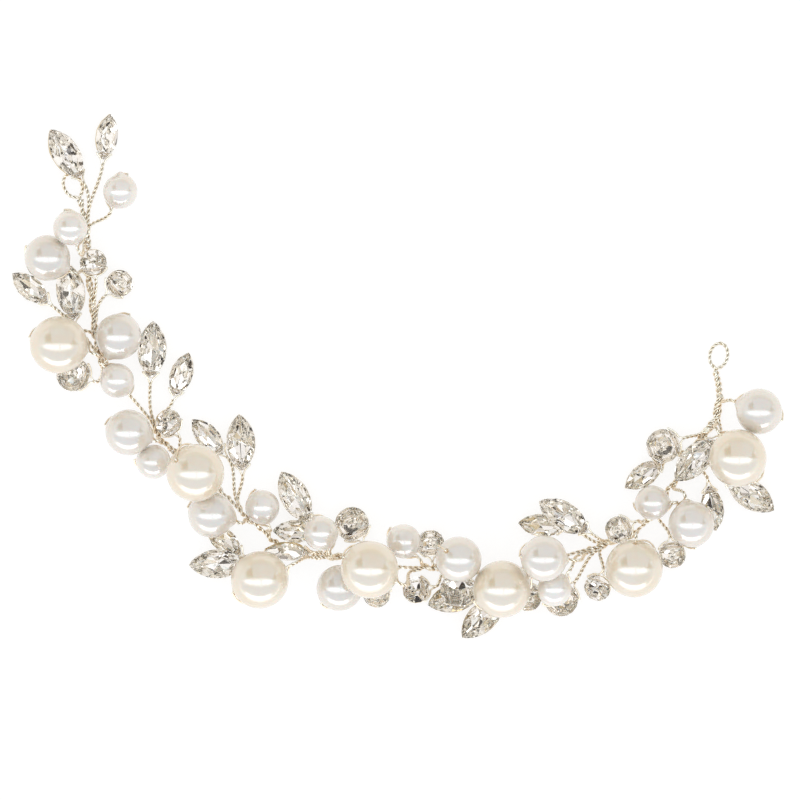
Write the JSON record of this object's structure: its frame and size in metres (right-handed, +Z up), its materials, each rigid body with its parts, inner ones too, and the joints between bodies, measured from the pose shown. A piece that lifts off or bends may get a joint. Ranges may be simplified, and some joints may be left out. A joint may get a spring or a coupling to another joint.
{
  "type": "hair vine",
  "caption": "Hair vine: a C-shaped stem of twisted wire with an eye at each end, and round pearls, marquise and round cut crystals on short twisted branches.",
  "frame": {"origin": "middle of the vine's box in X and Y, on the table that it lies on", "axes": "+X along the vine's width, +Y towards the open side of its arc and its two end loops, +Z up from the table, the way the crystals' tables face"},
  "size_m": [0.1332, 0.0905, 0.0158],
  "materials": {
    "pearl": "pearlescent",
    "crystal": "cut and polished",
    "wire": "bright champagne gold"
  },
  "bodies": {
    "root": {"main_stem": "wire", "end_loop_left": "wire", "end_loop_right": "wire", "sprig_wires_left": "wire", "sprig_wires_middle": "wire", "sprig_wires_right": "wire", "pearl_01": "pearl", "pearl_02": "pearl", "pearl_03": "pearl", "pearl_04": "pearl", "pearl_05": "pearl", "pearl_06": "pearl", "pearl_07": "pearl", "pearl_08": "pearl", "pearl_09": "pearl", "pearl_10": "pearl", "pearl_11": "pearl", "pearl_12": "pearl", "pearl_13": "pearl", "pearl_14": "pearl", "pearl_15": "pearl", "pearl_16": "pearl", "pearl_17": "pearl", "pearl_18": "pearl", "pearl_19": "pearl", "pearl_20": "pearl", "pearl_21": "pearl", "pearl_22": "pearl", "pearl_23": "pearl", "pearl_24": "pearl", "pearl_25": "pearl", "large_leaf_01": "crystal", "large_leaf_02": "crystal", "large_leaf_03": "crystal", "large_leaf_04": "crystal", "large_leaf_05": "crystal", "large_leaf_06": "crystal", "large_leaf_07": "crystal", "large_leaf_08": "crystal", "large_leaf_09": "crystal", "large_leaf_10": "crystal", "large_leaf_11": "crystal", "large_round_01": "crystal", "large_round_02": "crystal", "large_round_03": "crystal", "large_round_04": "crystal", "large_round_05": "crystal", "small_leaves": "crystal", "small_rounds": "crystal"}
  },
  "joints": []
}
